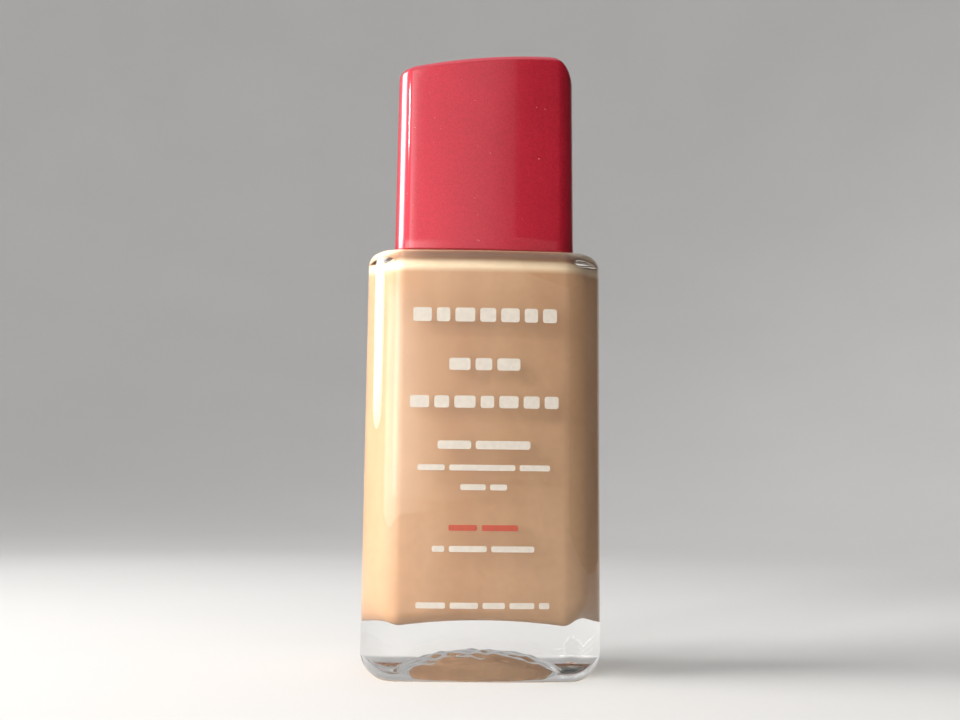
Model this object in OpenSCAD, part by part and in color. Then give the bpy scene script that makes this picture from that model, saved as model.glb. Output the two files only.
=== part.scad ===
// Foundation bottle: a thick-based glass bottle with bowed faces, a threaded neck
// and a tall screw cap whose top slopes gently from one side to the other.
// Origin at the middle of the base, +Z up, front face towards -Y.

/* [Glass body] */
// Width of the glass body
body_w = 38; // [36:0.5:42]
// Depth of the glass body, front to back
body_d = 29.8; // [29:0.1:34]
// Height of the glass body, up to the flat shoulder
body_h = 67.2; // [60:0.1:76]
// Radius of the upright corners
corner_r = 5.8; // [4.5:0.1:7]
// How far the front and back faces bow outwards
face_bow = 1; // [0.6:0.1:1.4]
// How far the side faces bow outwards
side_bow = 0.6; // [0.4:0.1:1]
// Radius of the rounded lower edge under the front and back faces
heel_front_r = 1.8; // [1.5:0.1:4]
// Radius of the rounded lower edge under the side faces
heel_side_r = 4.2; // [2:0.1:4.5]
// Radius of the rounded edge round the shoulder
shoulder_r = 2.3; // [1.5:0.1:3]
// Height of the hollow pressed into the underside
push_up = 3.6; // [0.4:0.1:4]

/* [Cavity] */
// Thickness of the side walls
side_wall = 3.2; // [2.5:0.1:4]
// Thickness of the front and back walls
front_wall = 3.8; // [3:0.1:4.5]
// Thickness of the base under the lowest part of the cavity
base_t = 7.6; // [7:0.1:11]
// How far the cavity floor arches up from the side walls to the middle
floor_arch = 1.4; // [0:0.1:2]
// How far the floor's middle stands above that arch
floor_dome = 0.5; // [0:0.1:1]
// Thickness of the glass over the cavity
shoulder_t = 1.3; // [1.3:0.1:4]
// How far the foundation stands up inside the neck
fill_rise = 0.6; // [0.2:0.1:1.5]

/* [Neck finish] */
// Height of the neck above the shoulder
neck_h = 9.6; // [9.4:0.1:10]
// Diameter of the neck between the threads
neck_d = 15.4; // [15:0.1:15.6]
// Diameter over the threads
thread_d = 17.6; // [17.2:0.1:17.8]
// Diameter of the bore
bore_d = 10.5; // [9:0.1:11]
// Rise of the thread in one turn
thread_pitch = 3.175; // [3:0.005:3.2]
// Length of the thread in turns
thread_turns = 1.25; // [1:0.05:1.5]

/* [Cap] */
// Width of the cap
cap_w = 29.7; // [28:0.1:31]
// Depth of the cap
cap_d = 23.6; // [23.4:0.1:26]
// Height of the cap at its higher side
cap_h = 33.5; // [32:0.1:36]
// Radius of the arc along the cap's top
cap_top_r = 124; // [100:1:160]
// Where the top is highest, from the middle towards +X
cap_peak_x = 11.5; // [8:0.5:13]
// Wall thickness of the cap's shell
cap_wall = 1.25; // [1:0.05:1.3]
// Gap between the shoulder and the cap
cap_gap = 0.35; // [0.2:0.05:0.6]
// Wall thickness of the threaded inner cap
inner_wall = 1.1; // [0.9:0.1:1.1]
// Thickness of the sealing liner
liner_t = 1; // [0.8:0.1:1.4]

/* [Print and label] */
// Thickness of the printed ink
ink_t = 0.05; // [0.03:0.01:0.1]
// Thickness of the back label
label_t = 0.08; // [0.05:0.01:0.15]
// Width of the back label
label_w = 24; // [18:1:26]
// Height of the back label
label_h = 44; // [30:1:46]
// Corner radius of the back label
label_r = 2; // [1:0.5:4]

/* [Hidden] */
$fn = 96;
eps = 0.01;        // gap that keeps two faces from sharing one plane
skin_gap = 0.02;   // gap between the foundation and the glass round it

// Cavity, seen from above
cavity_w = body_w - 2 * side_wall;
cavity_d = body_d - 2 * front_wall;
cavity_corner_r = 3.4;
cavity_floor_r = 3;
cavity_floor_side_h = 6;   // height of the floor's rounded edge along the side walls
cavity_roof_r = 1.8;
cavity_roof_side_h = 3.6;  // height of the roof's rounded edge along the side walls
cavity_z = base_t;
cavity_top_z = body_h - shoulder_t;

// Inner edge of the flat ring that the bottle stands on, as a share of its outer edge
bearing_size = 0.9;
push_up_power = 3;   // how square the hollow's profile is; 2 is a parabola
push_up_steps = 8;

// Neck and bore
neck_top_z = body_h + neck_h;
neck_root = 1;     // how far the neck is carried down into the shoulder
lip_r = 0.7;
lip_chamfer = 0.5;
fill_z = body_h + fill_rise;

// Threads: one profile for the neck, the same one turned inwards for the cap
thread_z = body_h + 3.9;
thread_root = 1.5;      // width of the profile at its root
thread_crest = 0.7;     // width of the profile at its crest
thread_bite = 0.2;      // how deep the profile is set into its wall
thread_fade = 25;       // degrees over which each end dies into the wall
thread_steps = 36;      // steps in one turn

// Inner cap and liner
socket_r = thread_d / 2 + 0.25;
socket_thread_r = neck_d / 2 + 0.35;
inner_r = socket_r + inner_wall;
inner_z = body_h + 0.95;
inner_top_z = neck_top_z + liner_t;
inner_lid_t = 1.2;
flange_t = 1.2;
flange_gap = 0.05;
liner_r = socket_r - 0.15;

// Cap shell
cap_z = body_h + cap_gap;
cap_top_z = cap_z + cap_h;
cap_corner_r = 3;
cap_face_bow = 0.8;
cap_side_bow = 0.4;
cap_draft = 0.2;          // how much narrower each side is at the top
cap_crown_r = 250;        // radius of the top from front to back
cap_edge_front = 1.1;     // radius of the top edge at the front and back
cap_edge_low = 1.4;       // radius of the top edge at the lower side
cap_edge_high = 3.2;      // how far in the top edge is rounded at the higher side
cap_edge_drop = 5;        // how far down it is rounded there
cap_top_corner_r = 2.4;   // corners of the flat of the top, inside the rounded edge
cap_rim_r = 0.25;         // rounding of the cap's lower rim
cap_lid_t = 1.6;
rib_t = 1.2;
rib_y = 4.6;
rib_stop_x = 7.6;         // how far each rib reaches in over the inner cap
rib_above = 4;            // height of the ribs above the inner cap

// Printed lines: height of the line, height of its marks, gap between them, and
// how long each mark is
white_lines = [
    [56.4, 2.2, 0.8, [2.9, 2.1, 3.1, 2.5, 2.9, 2.1, 2.2]],
    [48.6, 1.9, 0.8, [3.3, 2.6, 3.6]],
    [42.7, 1.9, 0.8, [3, 2.3, 3.3, 2.1, 3, 2.5, 2.2]],
    [36, 1.3, 0.7, [5.2, 8.5]],
    [32.5, 0.9, 0.7, [4.2, 10.2, 4.7]],
    [29.5, 0.9, 0.7, [3.9, 2.6]],
    [20.1, 0.9, 0.7, [1.9, 5.8, 6.6]],
    [11.6, 0.9, 0.7, [4.5, 4.3, 3.4, 3.8, 1.6]]
];
red_lines = [
    [23.3, 0.9, 0.7, [4.4, 5.6]]
];
label_mid_z = 36;

// ---- Outline: four shallow arcs joined by four corner arcs ----

// Radius of an arc from the chord under it and the height it rises
function arc_radius(chord, bow) = (chord * chord / 4 + bow * bow) / (2 * bow);

// Points of an arc with their outward normals; "from" skips a shared first point
function arc_points(centre, r, a0, a1, steps, from = 0) =
    [for (i = [from:steps])
        let (a = a0 + (a1 - a0) * i / steps, n = [cos(a), sin(a)])
        [centre + r * n, n]];

// The quarter from the +X side round to the +Y face
function quarter(w, d, r, bow_face, bow_side, face_steps, corner_steps) =
    let (rf = arc_radius(w, bow_face), rs = arc_radius(d, bow_side),
         cf = [0, d / 2 - rf], cs = [w / 2 - rs, 0],
         span = norm(cs - cf), u = (cs - cf) / span,
         along = (pow(rf - r, 2) - pow(rs - r, 2) + span * span) / (2 * span),
         off = sqrt(pow(rf - r, 2) - along * along),
         corner = cf + along * u + off * [u.y, -u.x],
         a_side = atan2(corner.y - cs.y, corner.x - cs.x),
         a_face = atan2(corner.y - cf.y, corner.x - cf.x))
    concat(arc_points(cs, rs, 0, a_side, face_steps),
           arc_points(corner, r, a_side, a_face, corner_steps, 1),
           arc_points(cf, rf, a_face, 90, face_steps, 1));

function flipped(pts, sx, sy) =
    [for (p = pts) [[sx * p[0].x, sy * p[0].y], [sx * p[1].x, sy * p[1].y]]];
function reversed(pts) = [for (i = [len(pts) - 1:-1:0]) pts[i]];
function but_last(pts) = [for (i = [0:len(pts) - 2]) pts[i]];

// The whole outline, anticlockwise from the middle of the +X side
function outline(w, d, r, bow_face, bow_side, face_steps = 3, corner_steps = 6) =
    let (q = quarter(w, d, r, bow_face, bow_side, face_steps, corner_steps))
    concat(but_last(q), but_last(reversed(flipped(q, -1, 1))),
           but_last(flipped(q, -1, -1)), but_last(reversed(flipped(q, 1, -1))));

// One ring of a loft: the outline drawn in by "inset", scaled and set at a height
function section(o, inset, z, size = 1) =
    [for (p = o) concat(size * (p[0] - inset * p[1]), z)];

// ---- Loft: skins a stack of rings, from the lowest to the highest ----

// Mean of a ring's points
function middle(ring) = [for (p = ring) 1 / len(ring)] * ring;

module loft(rings) {
    n = len(rings[0]);
    m = len(rings);
    points = concat([for (ring = rings) each ring], [middle(rings[0]), middle(rings[m - 1])]);
    sides = [for (k = [0:m - 2], i = [0:n - 1])
        let (a = k * n + i, b = k * n + (i + 1) % n)
        each [[a, a + n, b + n], [a, b + n, b]]];
    low_end = [for (i = [0:n - 1]) [m * n, i, (i + 1) % n]];
    high_end = [for (i = [0:n - 1]) [m * n + 1, (m - 1) * n + (i + 1) % n, (m - 1) * n + i]];
    polyhedron(points, concat(sides, low_end, high_end));
}

// ---- Thread: a trapezoid swept up a helix, dying out at both ends ----

// sign is 1 for a thread on the outside of a wall of radius r, -1 for one inside a socket
module helical_thread(r, depth, sign, z0) {
    count = ceil(thread_turns * thread_steps);
    sweep = thread_turns * 360;
    rings = [for (i = [0:count])
        let (a = sweep * i / count,
             grow = min(1, a / thread_fade, (sweep - a) / thread_fade),
             z = z0 + thread_pitch * a / 360,
             root = r - sign * thread_bite,
             crest = r + sign * depth * grow)
        [for (c = [[root, -thread_root / 2], [crest, -thread_crest / 2],
                   [crest, thread_crest / 2], [root, thread_root / 2]])
            [c.x * cos(a), c.x * sin(a), z + c.y]]];
    points = [for (ring = rings) each ring];
    low = [[0, 2, 1], [0, 3, 2]];
    last = 4 * count;
    high = [[last, last + 1, last + 2], [last, last + 2, last + 3]];
    sides = [for (k = [0:count - 1], i = [0:3])
        let (a = 4 * k + i, b = 4 * k + (i + 1) % 4)
        each [[a, b, b + 4], [a, b + 4, a + 4]]];
    faces = concat(low, high, sides);
    polyhedron(points, sign > 0 ? faces : [for (f = faces) [f[0], f[2], f[1]]]);
}

// ---- Bottle ----

body_outline = outline(body_w, body_d, corner_r, face_bow, side_bow);
cavity_outline = outline(cavity_w, cavity_d, cavity_corner_r, face_bow, side_bow);

// Ring of the rounded lower edge at angle a, from 0 underneath to 90 on the wall
function heel_ring(a) =
    [for (p = body_outline)
        let (n = p[1], r = heel_front_r + (heel_side_r - heel_front_r) * n.x * n.x)
        concat(p[0] - r * (1 - sin(a)) * n, r * (1 - cos(a)))];

// A step from 0 to 1 that starts and ends level
function eased(t) = let (u = min(max(t, 0), 1)) u * u * (3 - 2 * u);

// Ring of the hollow under the base at a share of its size: the foot's outline at the
// hollow's edge, an oval from halfway in
function push_up_ring(share) =
    let (foot = heel_ring(0),
         half_w = max([for (p = foot) p.x]),
         half_d = max([for (p = foot) p.y]),
         oval_share = eased(2 - 2 * share))
    [for (p = foot)
        let (a = atan2(p.y / half_d, p.x / half_w),
             flat = [p.x, p.y],
             oval = [half_w * cos(a), half_d * sin(a)])
        concat(bearing_size * share * (flat + (oval - flat) * oval_share),
               push_up * (1 - pow(share, push_up_power)))];

module body_skin() {
    heel = [for (a = [0:22.5:90]) heel_ring(a)];
    shoulder = [for (a = [0:22.5:90])
        section(body_outline, shoulder_r * (1 - cos(a)), body_h - shoulder_r * (1 - sin(a)))];
    underside = [for (k = [1:push_up_steps]) push_up_ring(k / push_up_steps)];
    loft(concat(underside, heel, shoulder));
}

// Lifts a ring by the floor's arch, times a share that fades it out up the wall
function arched(ring, share) =
    [for (p = ring) [p.x, p.y, p.z + share * floor_arch * (1 - pow(2 * p.x / cavity_w, 2))]];

// Ring of an edge of the cavity, rounded by r across the wall and by r up it, or by
// side_h up the side walls; a is 90 on the wall, and up is 1 for the floor, -1 for the roof
function cavity_edge_ring(r, side_h, a, z, gap, up) =
    [for (p = cavity_outline)
        let (n = p[1], h = r + (side_h - r) * n.x * n.x)
        concat(p[0] - (gap + r * (1 - sin(a))) * n, z + up * (gap + h * (1 - cos(a))))];

// The inside of the bottle, drawn in by "gap" all round
module cavity(gap) {
    dome = [for (k = [1:4])
        let (size = k / 5)
        arched(section(cavity_outline, gap + cavity_floor_r,
                       cavity_z + gap + floor_dome * (1 - size * size), size), 1)];
    floor_edge = [for (a = [0:22.5:90])
        arched(cavity_edge_ring(cavity_floor_r, cavity_floor_side_h, a, cavity_z, gap, 1), cos(a))];
    roof_edge = [for (a = [90:-22.5:0])
        cavity_edge_ring(cavity_roof_r, cavity_roof_side_h, a, cavity_top_z, gap, -1)];
    loft(concat(dome, floor_edge, roof_edge));
}

module neck() {
    r = neck_d / 2;
    rotate_extrude()
        polygon(concat(
            [[0, body_h - neck_root], [r, body_h - neck_root]],
            [for (a = [0:22.5:90])
                [r - lip_r * (1 - cos(a)), neck_top_z - lip_r * (1 - sin(a))]],
            [[0, neck_top_z]]));
}

module bore() {
    r = bore_d / 2;
    rotate_extrude()
        polygon([[0, cavity_top_z - 1], [r, cavity_top_z - 1],
                 [r, neck_top_z - lip_chamfer],
                 [r + lip_chamfer + 1, neck_top_z + 1], [0, neck_top_z + 1]]);
}

module glass_bottle() {
    color([0.86, 0.9, 0.89, 0.45])
        difference() {
            union() {
                body_skin();
                neck();
                helical_thread(neck_d / 2, (thread_d - neck_d) / 2, 1, thread_z);
            }
            cavity(0);
            bore();
        }
}

module foundation_liquid() {
    color([0.78, 0.62, 0.47]) {
        cavity(skin_gap);
        translate([0, 0, cavity_top_z - 1])
            cylinder(r = bore_d / 2 - skin_gap, h = fill_z - cavity_top_z + 1);
    }
}

// ---- Print and label, laid on the bowed faces ----

// A sheet that follows the front face's arc, from x0 to x1 and from z0 to z1
module bowed_strip(x0, x1, z0, z1, thick) {
    r = arc_radius(body_w, face_bow);
    centre_y = r - body_d / 2;
    steps = max(2, ceil((x1 - x0) / 2));
    function at(i, rise) =
        let (a = asin((x0 + (x1 - x0) * i / steps) / r))
        [(r + rise) * sin(a), centre_y - (r + rise) * cos(a)];
    translate([0, 0, z0])
        linear_extrude(z1 - z0)
            polygon(concat([for (i = [0:steps]) at(i, eps)],
                           [for (i = [steps:-1:0]) at(i, eps + thick)]));
}

// Length of the first n marks of a line with the gaps after them
function run(line, n) = n == 0 ? 0 : run(line, n - 1) + line[3][n - 1] + line[2];

module printed_lines(lines) {
    for (line = lines) {
        count = len(line[3]);
        start = -(run(line, count) - line[2]) / 2;
        for (i = [0:count - 1])
            bowed_strip(start + run(line, i), start + run(line, i) + line[3][i],
                        line[0] - line[1] / 2, line[0] + line[1] / 2, ink_t);
    }
}

module white_print() {
    color("white") printed_lines(white_lines);
}

module red_print() {
    color([0.78, 0.24, 0.18]) printed_lines(red_lines);
}

module back_label() {
    half_h = label_h / 2;
    color([0.93, 0.92, 0.9])
        rotate([0, 0, 180])
            intersection() {
                bowed_strip(-label_w / 2, label_w / 2,
                            label_mid_z - half_h, label_mid_z + half_h, label_t);
                translate([0, 0, label_mid_z])
                    rotate([90, 0, 0])
                        linear_extrude(body_d)
                            offset(label_r, $fn = 24)
                                square([label_w - 2 * label_r, label_h - 2 * label_r], center = true);
            }
}

// ---- Cap ----

cap_outline = outline(cap_w, cap_d, cap_corner_r, cap_face_bow, cap_side_bow);

// Height of the cap's top over a point
function cap_roof(p) = cap_top_z - pow(p.x - cap_peak_x, 2) / (2 * cap_top_r)
    - p.y * p.y / (2 * cap_crown_r);

// A size of the top edge, made smaller for a wall drawn in by "inset"
function edge_size(size, inset) = max(size - inset / 2, 0.4);

// How far down the top edge is rounded where the wall faces along n
function cap_drop(n) = cap_edge_front
    + (n.x > 0 ? cap_edge_drop - cap_edge_front : cap_edge_low - cap_edge_front) * n.x * n.x;

// Outline of the top inside its rounded edge, for a wall drawn in by "inset"
function cap_top_outline(inset) =
    let (low = edge_size(cap_edge_low, inset),
         high = edge_size(cap_edge_high, inset),
         w = cap_w - 2 * (inset + cap_draft) - low - high,
         d = cap_d - 2 * (inset + cap_draft + edge_size(cap_edge_front, inset)))
    [for (p = outline(w, d, cap_top_corner_r, cap_face_bow * pow(w / cap_w, 2),
                      cap_side_bow * pow(d / cap_d, 2)))
        p[0] + [(low - high) / 2, 0]];

// Ring of the rounded top edge at angle a, for a wall drawn in by "inset"
function cap_edge_ring(inset, lid, a) =
    let (top = cap_top_outline(inset))
    [for (i = [0:len(top) - 1])
        let (n = cap_outline[i][1],
             wall = cap_outline[i][0] - (inset + cap_draft) * n,
             q = wall + (top[i] - wall) * (1 - cos(a)),
             drop = edge_size(cap_drop(n), inset))
        concat(q, cap_roof(q) - lid - drop * (1 - sin(a)))];

// Rings that close the top, each a smaller copy of the last edge ring
function cap_roof_rings(inset, lid) =
    [for (k = [4:-1:1])
        [for (p = cap_edge_ring(inset, lid, 90))
            let (q = k / 5 * [p.x, p.y]) concat(q, cap_roof(q) - lid)]];

module cap_outside() {
    loft(concat([section(cap_outline, cap_rim_r, cap_z),
                 section(cap_outline, 0, cap_z + cap_rim_r)],
                [for (a = [0:18:90]) cap_edge_ring(0, 0, a)],
                cap_roof_rings(0, 0)));
}

module cap_inside() {
    loft(concat([section(cap_outline, cap_wall, cap_z - 1),
                 section(cap_outline, cap_wall, cap_z)],
                [for (a = [0:45:90]) cap_edge_ring(cap_wall, cap_lid_t, a)],
                cap_roof_rings(cap_wall, cap_lid_t)));
}

// Ribs that centre the inner cap and stop it going further up
module locating_ribs() {
    rib_z = inner_z + flange_t;
    rib_end = cap_w / 2 - cap_wall / 2;
    difference() {
        for (sx = [-1, 1], sy = [-1, 1])
            translate([sx > 0 ? rib_stop_x : -rib_end, sy * rib_y - rib_t / 2, rib_z])
                cube([rib_end - rib_stop_x, rib_t, inner_top_z + inner_lid_t + rib_above - rib_z]);
        translate([0, 0, rib_z - 1])
            cylinder(r = inner_r, h = inner_top_z + inner_lid_t - rib_z + 1);
    }
}

module cap_shell() {
    color([0.74, 0.1, 0.2]) {
        difference() {
            cap_outside();
            cap_inside();
        }
        locating_ribs();
    }
}

// Threaded closure with a flange that fills the mouth of the shell
module inner_cap() {
    color([0.86, 0.84, 0.82]) {
        difference() {
            union() {
                translate([0, 0, inner_z])
                    cylinder(r = inner_r, h = inner_top_z + inner_lid_t - inner_z);
                translate([0, 0, inner_z])
                    linear_extrude(flange_t)
                        polygon([for (p = cap_outline) p[0] - (cap_wall + flange_gap) * p[1]]);
            }
            translate([0, 0, inner_z - 1])
                cylinder(r = socket_r, h = inner_top_z - inner_z + 1);
        }
        helical_thread(socket_r, socket_r - socket_thread_r, -1, thread_z - thread_pitch / 2);
    }
}

module cap_liner() {
    color([0.9, 0.9, 0.88])
        translate([0, 0, neck_top_z])
            cylinder(r = liner_r, h = liner_t);
}

glass_bottle();
foundation_liquid();
white_print();
red_print();
back_label();
cap_liner();
inner_cap();
cap_shell();
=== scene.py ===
"""Looks of the foundation bottle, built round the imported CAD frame.

Lengths are millimetres and MM turns them into metres; stage, lights and camera are in metres.
The bottle stands on z = 0 with its printed face towards -Y.
"""

import math

import bpy
import numpy as np
from mathutils import Matrix, Vector


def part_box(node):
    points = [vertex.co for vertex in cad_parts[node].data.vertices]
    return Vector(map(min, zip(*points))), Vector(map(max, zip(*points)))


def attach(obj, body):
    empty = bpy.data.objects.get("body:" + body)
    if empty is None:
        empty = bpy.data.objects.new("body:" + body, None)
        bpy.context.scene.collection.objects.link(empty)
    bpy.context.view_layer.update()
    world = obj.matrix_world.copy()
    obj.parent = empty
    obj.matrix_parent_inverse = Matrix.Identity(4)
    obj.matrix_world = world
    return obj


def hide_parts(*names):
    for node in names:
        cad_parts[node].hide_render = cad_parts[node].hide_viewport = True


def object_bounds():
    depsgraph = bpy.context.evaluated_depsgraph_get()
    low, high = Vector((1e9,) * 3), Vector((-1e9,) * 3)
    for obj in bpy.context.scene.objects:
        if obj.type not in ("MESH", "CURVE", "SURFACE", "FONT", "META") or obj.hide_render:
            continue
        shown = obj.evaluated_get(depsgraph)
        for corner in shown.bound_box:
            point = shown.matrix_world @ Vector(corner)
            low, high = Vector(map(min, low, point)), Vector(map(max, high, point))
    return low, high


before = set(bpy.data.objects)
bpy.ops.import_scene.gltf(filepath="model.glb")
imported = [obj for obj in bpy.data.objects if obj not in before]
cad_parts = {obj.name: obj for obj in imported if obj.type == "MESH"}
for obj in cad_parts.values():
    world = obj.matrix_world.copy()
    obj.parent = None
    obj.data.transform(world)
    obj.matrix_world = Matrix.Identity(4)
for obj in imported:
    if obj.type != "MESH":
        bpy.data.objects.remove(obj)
cad_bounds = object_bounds()

MM = 0.001


# ---- Sizes: the outer ones read from the frame, the rest as in the CAD ----


def node_box(node):
    """Lowest and highest corners of a CAD node, in millimetres."""
    low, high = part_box(node)
    return np.array(low) / MM, np.array(high) / MM


glass_low, glass_high = node_box("glass_bottle")
liquid_low, liquid_high = node_box("foundation_liquid")
shell_low, shell_high = node_box("cap_shell")
inner_low, inner_high = node_box("inner_cap")
liner_low, liner_high = node_box("cap_liner")
label_low, label_high = node_box("back_label")

BODY_W, BODY_D = glass_high[0] - glass_low[0], glass_high[1] - glass_low[1]
FILL_RISE = 0.6
FILL_Z = liquid_high[2]
BODY_H = FILL_Z - FILL_RISE
NECK_TOP_Z = glass_high[2]

CORNER_R, FACE_BOW, SIDE_BOW = 5.8, 1.0, 0.6
HEEL_FRONT_R, HEEL_SIDE_R, SHOULDER_R = 1.8, 4.2, 2.3
BEARING_SIZE, PUSH_UP, PUSH_UP_POWER = 0.9, 3.6, 3

SKIN_GAP = 0.02
CAVITY_W = liquid_high[0] - liquid_low[0] + 2 * SKIN_GAP
CAVITY_D = liquid_high[1] - liquid_low[1] + 2 * SKIN_GAP
CAVITY_CORNER_R = 3.4
CAVITY_FLOOR_R, CAVITY_FLOOR_SIDE_H = 3.0, 6.0
CAVITY_ROOF_R, CAVITY_ROOF_SIDE_H = 1.8, 3.6
CAVITY_Z, CAVITY_TOP_Z = 7.6, BODY_H - 1.3
FLOOR_ARCH, FLOOR_DOME = 1.4, 0.5

NECK_R, BORE_R, THROAT_R = 7.7, 5.25, 1.6
NECK_FILLET_R, LIP_R, INNER_LIP_R = 0.8, 0.7, 0.5
THREAD_DEPTH, THREAD_RING_STEP = 1.1, 0.12
THREAD_Z, THREAD_PITCH, THREAD_TURNS = BODY_H + 3.9, 3.175, 1.25
THREAD_ROOT, THREAD_CREST, THREAD_FADE = 1.5, 0.7, 25.0

CAP_W, CAP_D = shell_high[0] - shell_low[0], shell_high[1] - shell_low[1]
CAP_Z, CAP_TOP_Z = shell_low[2], shell_high[2]
CAP_CORNER_R, CAP_FACE_BOW, CAP_SIDE_BOW = 3.0, 0.8, 0.4
CAP_DRAFT, CAP_WALL, CAP_LID = 0.2, 1.25, 1.6
CAP_TOP_R, CAP_PEAK_X, CAP_CROWN_R = 124.0, 11.5, 250.0
CAP_EDGE_FRONT, CAP_EDGE_LOW, CAP_EDGE_HIGH, CAP_EDGE_DROP = 1.1, 1.4, 3.2, 5.0
CAP_EDGE_LEAST, CAP_TOP_CORNER_R, CAP_RIM_R = 0.4, 2.4, 0.25

RIB_Y, RIB_T, RIB_BITE = 4.6, 1.2, 0.75
RIB_LOW_Z, RIB_STEP_Z, RIB_TOP_Z = BODY_H + 2.15, BODY_H + 11.8, BODY_H + 15.8
RIB_STOP_X, RIB_FOOT_X = 7.6, 9.45

INK_T, LABEL_T, FILM_GAP = 0.05, 0.08, 0.01
MARK_CORNER_SHARE, MARK_CORNER_R, LABEL_CORNER_R = 0.3, 0.4, 2.0


# ---- Outlines and rings ----


def arc_radius(chord, bow):
    """Radius of an arc from the chord under it and the height it rises."""
    return (chord * chord / 4 + bow * bow) / (2 * bow)


def outline(width, depth, corner_r, face_bow, side_bow, steps=(10, 22, 18)):
    """Points and outward normals of a bowed, rounded rectangle, anticlockwise from +X."""
    face_r, side_r = arc_radius(width, face_bow), arc_radius(depth, side_bow)
    face_c, side_c = np.array([0, depth / 2 - face_r]), np.array([width / 2 - side_r, 0])
    span = np.linalg.norm(side_c - face_c)
    along_u = (side_c - face_c) / span
    across_u = np.array([along_u[1], -along_u[0]])
    along = ((face_r - corner_r) ** 2 - (side_r - corner_r) ** 2 + span**2) / (2 * span)
    off = math.sqrt((face_r - corner_r) ** 2 - along**2)
    corner_c = face_c + along * along_u + off * across_u
    side_end = math.atan2(*(corner_c - side_c)[::-1])
    face_start = math.atan2(*(corner_c - face_c)[::-1])
    points, normals = [], []
    arcs = (
        (side_c, side_r, 0, side_end, steps[0]),
        (corner_c, corner_r, side_end, face_start, steps[1]),
        (face_c, face_r, face_start, math.pi / 2, steps[2]),
    )
    for centre, radius, start, end, count in arcs:
        for t in np.linspace(start, end, count, endpoint=False):
            normal = np.array([math.cos(t), math.sin(t)])
            points.append(centre + radius * normal)
            normals.append(normal)
    points.append(np.array([0, depth / 2]))
    normals.append(np.array([0.0, 1.0]))
    quarter = np.stack([points, normals], axis=1)
    half = np.concatenate([quarter, quarter[-2::-1] * [-1, 1]])
    whole = np.concatenate([half, half[-2:0:-1] * [1, -1]])
    return whole[:, 0], whole[:, 1]


def ring(shape, inset, z, size=1.0):
    """One ring of a loft: the outline drawn in by inset, scaled, at height z."""
    points, normals = shape
    inset = np.broadcast_to(inset, len(points))[:, None]
    return np.column_stack([size * (points - inset * normals), np.broadcast_to(z, len(points))])


def circle(shape, radius, z):
    """A round ring whose points line up with an outline's own points."""
    angle = np.arctan2(shape[0][:, 1], shape[0][:, 0])
    radius = np.broadcast_to(radius, angle.shape)
    height = np.full(len(angle), z)
    return np.column_stack([radius * np.cos(angle), radius * np.sin(angle), height])


def between(first, last, count):
    """Rings that run evenly from one ring to another, both left out."""
    return [first + (last - first) * k / (count + 1) for k in range(1, count + 1)]


def quarter_turn(count):
    """Angles from 0 to 90 degrees, both included."""
    return np.linspace(0, math.pi / 2, count + 1)


def smooth_step(t):
    """From 0 to 1 with level ends."""
    t = np.clip(t, 0, 1)
    return t * t * (3 - 2 * t)


# ---- Meshes ----


def make_mesh(name, points, faces, material, body, smooth=True):
    """A piece from points in millimetres, riding on a CAD body."""
    mesh = bpy.data.meshes.new(name)
    mesh.from_pydata((np.asarray(points) * MM).tolist(), [], faces)
    mesh.polygons.foreach_set("use_smooth", [smooth] * len(mesh.polygons))
    mesh.materials.append(material)
    mesh.validate()
    piece = bpy.data.objects.new(name, mesh)
    bpy.context.scene.collection.objects.link(piece)
    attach(piece, body)
    return piece


def loft_faces(rings):
    """Faces that skin a stack of rings and close both ends with a fan round an added centre."""
    count, size = len(rings), len(rings[0])
    index = np.arange(size)
    following = (index + 1) % size
    faces = []
    for k in range(count - 1):
        low, high = k * size, (k + 1) * size
        faces += np.column_stack(
            [low + index, low + following, high + following, high + index]
        ).tolist()
    low_centre, high_centre = count * size, count * size + 1
    top = (count - 1) * size
    faces += [[low_centre, int(b), int(a)] for a, b in zip(index, following)]
    faces += [[high_centre, top + int(a), top + int(b)] for a, b in zip(index, following)]
    return faces


def loft_points(rings):
    """Points of a stack of rings, then the centres of its first and last ring."""
    centres = [rings[k].mean(axis=0)[None] for k in (0, -1)]
    return np.concatenate([*rings, *centres])


def loft(name, rings, material, body):
    """A closed piece skinned over a stack of rings."""
    return make_mesh(name, loft_points(rings), loft_faces(rings), material, body)


# ---- Node helpers ----


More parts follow.
